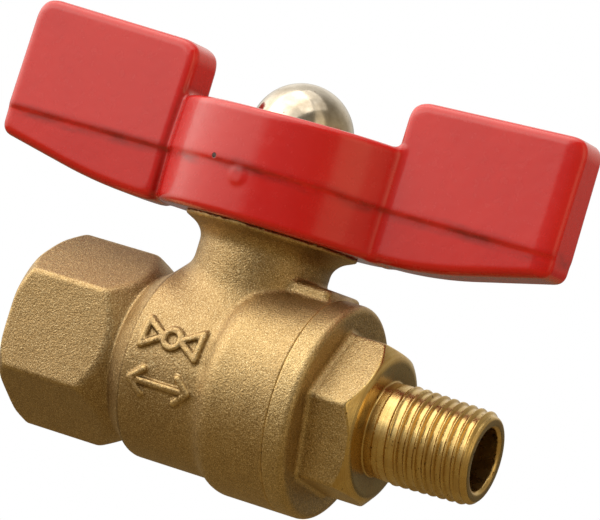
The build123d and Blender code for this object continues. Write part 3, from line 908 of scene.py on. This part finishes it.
def studio():
    """A white backdrop, and soft light from all round that is brightest on the left.

    The camera sees plain white, and the valve is lit by the soft light, which is golden to the
    right and below, and darker behind near the horizon.
    """
    world = bpy.data.worlds.new("studio")
    bpy.context.scene.world = world
    world.use_nodes = True
    tree = world.node_tree
    nodes, links = tree.nodes, tree.links
    nodes.clear()
    way = nodes.new("ShaderNodeSeparateXYZ")
    links.new(nodes.new("ShaderNodeTexCoord").outputs["Generated"], way.inputs[0])

    def calc(operation, a, b=0.0):
        node = nodes.new("ShaderNodeMath")
        node.operation = operation
        for value, socket in ((a, node.inputs[0]), (b, node.inputs[1])):
            if isinstance(value, bpy.types.NodeSocket):
                links.new(value, socket)
            else:
                socket.default_value = value
        return node.outputs[0]

    round_about = calc("ARCTAN2", way.outputs["X"], calc("MULTIPLY", way.outputs["Y"], -1.0))
    turn = calc("MULTIPLY_ADD", round_about, 1 / (2 * math.pi))
    turn.node.inputs[2].default_value = 0.5

    around = ramp(tree, turn, [(degrees / 360 + 0.5, share) for degrees, share in LIGHT_AROUND])
    height = calc("MULTIPLY_ADD", way.outputs["Z"], 0.5)
    height.node.inputs[2].default_value = 0.5
    level = ramp(tree, height, LIGHT_UPWARD)
    strength = calc("MULTIPLY", calc("MULTIPLY", around, level), LIGHT_STRENGTH)
    behind = calc("MULTIPLY", way.outputs["Y"], 1.5)
    under = calc("SUBTRACT", 1.0, calc("MULTIPLY", way.outputs["Z"], 2.0))
    behind.node.use_clamp = under.node.use_clamp = True
    shade = calc("MULTIPLY", calc("MULTIPLY", behind, under), DARKER_BEHIND)
    shade = calc("SUBTRACT", 1.0, shade)
    strength = calc("MULTIPLY", strength, shade)
    lit = nodes.new("ShaderNodeBackground")
    to_right = calc("MULTIPLY", way.outputs["X"], 1.2)
    warmth = calc("MAXIMUM", to_right, calc("MULTIPLY", way.outputs["Z"], -2.5))
    warmth.node.use_clamp = True
    tint = nodes.new("ShaderNodeMix")
    tint.data_type = "RGBA"
    links.new(warmth, tint.inputs[0])
    tint.inputs[6].default_value = PALE_LIGHT
    tint.inputs[7].default_value = GOLDEN_LIGHT
    links.new(tint.outputs[2], lit.inputs["Color"])
    links.new(strength, lit.inputs["Strength"])
    white = nodes.new("ShaderNodeBackground")
    white.inputs["Color"].default_value = (1, 1, 1, 1)
    pick = nodes.new("ShaderNodeMixShader")
    links.new(nodes.new("ShaderNodeLightPath").outputs["Is Camera Ray"], pick.inputs[0])
    links.new(lit.outputs[0], pick.inputs[1])
    links.new(white.outputs[0], pick.inputs[2])
    links.new(pick.outputs[0], nodes.new("ShaderNodeOutputWorld").inputs[0])


def soft_box(name, azimuth, elevation, size, power, colour, mirrored=True):
    """A square light that faces the valve from a compass direction like the camera's."""
    a, e = math.radians(azimuth), math.radians(elevation)
    way = Vector((math.sin(a) * math.cos(e), -math.cos(a) * math.cos(e), math.sin(e)))
    light = bpy.data.lights.new(name, "AREA")
    light.shape = "SQUARE"
    light.size = size
    light.energy = power
    light.color = colour
    lamp = bpy.data.objects.new(name, light)
    lamp.visible_glossy = mirrored
    lamp.location = CENTRE + way * LAMP_DISTANCE
    lamp.rotation_euler = way.to_track_quat("Z", "Y").to_euler()
    bpy.context.scene.collection.objects.link(lamp)


def pale_floor():
    """A round pale floor well under the valve, which is held up as on a stand."""
    mesh = bpy.data.meshes.new("floor")
    sides = 96
    turns = [2 * math.pi * i / sides for i in range(sides)]
    ring = [(FLOOR_R * math.cos(a), FLOOR_R * math.sin(a), FLOOR_Z) for a in turns]
    mesh.from_pydata(ring, [], [list(range(sides))])
    floor = bpy.data.objects.new("floor", mesh)
    bpy.context.scene.collection.objects.link(floor)
    f = Finish("pale_floor", Roughness=0.8)
    pale = f.mix(f.noise(40.0), linear("F2F1EE"), linear("EEEDEA"))
    seen = f.node("LightPath").outputs["Is Camera Ray"]
    mesh.materials.append(f.done(f.mix(seen, linear("776947"), pale)))


CENTRE = Vector((STEM_X, 0, 10)) * MM
FLOOR_R = 0.9
FLOOR_Z = -0.2
studio()
WARM = (1, 0.95, 0.86)
AMBER = (1, 0.8, 0.6)
LAMP_DISTANCE = 0.8
soft_box("key", -40, 50, 1.1, 4, WARM)
soft_box("top", -20, 80, 0.8, 1.5, WARM)
soft_box("fill", 95, 15, 0.8, 3, AMBER, mirrored=False)
soft_box("front", 0, 10, 0.8, 1, WARM, mirrored=False)
pale_floor()

VIEW_TURN = math.radians(24.33)
VIEW_RISE = math.radians(-1.75)
VIEW_ROLL = math.radians(16.98)
VIEW_DISTANCE = 500.0
VIEW_SHIFT = (-10.20, -17.05)
PIXELS_PER_MM = 7.09
FRAME_PIXELS = 600
SENSOR_MM = 36.0


def viewpoint():
    """A camera level with the pipe, to the right of square on, rolled with the horizon."""
    back = Vector(
        (
            math.sin(VIEW_TURN) * math.cos(VIEW_RISE),
            -math.cos(VIEW_TURN) * math.cos(VIEW_RISE),
            math.sin(VIEW_RISE),
        )
    )
    level = Vector((math.cos(VIEW_TURN), math.sin(VIEW_TURN), 0))
    upright = back.cross(level)
    right = math.cos(VIEW_ROLL) * level + math.sin(VIEW_ROLL) * upright
    up = -math.sin(VIEW_ROLL) * level + math.cos(VIEW_ROLL) * upright
    place = VIEW_DISTANCE * back - VIEW_SHIFT[0] * right - VIEW_SHIFT[1] * up
    place = (place + Vector((STEM_X, 0, 0))) * MM
    data = bpy.data.cameras.new("camera")
    data.sensor_width = SENSOR_MM
    data.lens = PIXELS_PER_MM * VIEW_DISTANCE * SENSOR_MM / FRAME_PIXELS
    data.clip_start = 0.01
    camera = bpy.data.objects.new("camera", data)
    bpy.context.scene.collection.objects.link(camera)
    turn = Matrix((right, up, back)).transposed().to_4x4()
    camera.matrix_world = Matrix.Translation(place) @ turn
    bpy.context.scene.camera = camera


viewpoint()
bpy.context.scene.view_settings.view_transform = "Standard"

bpy.context.view_layer.update()
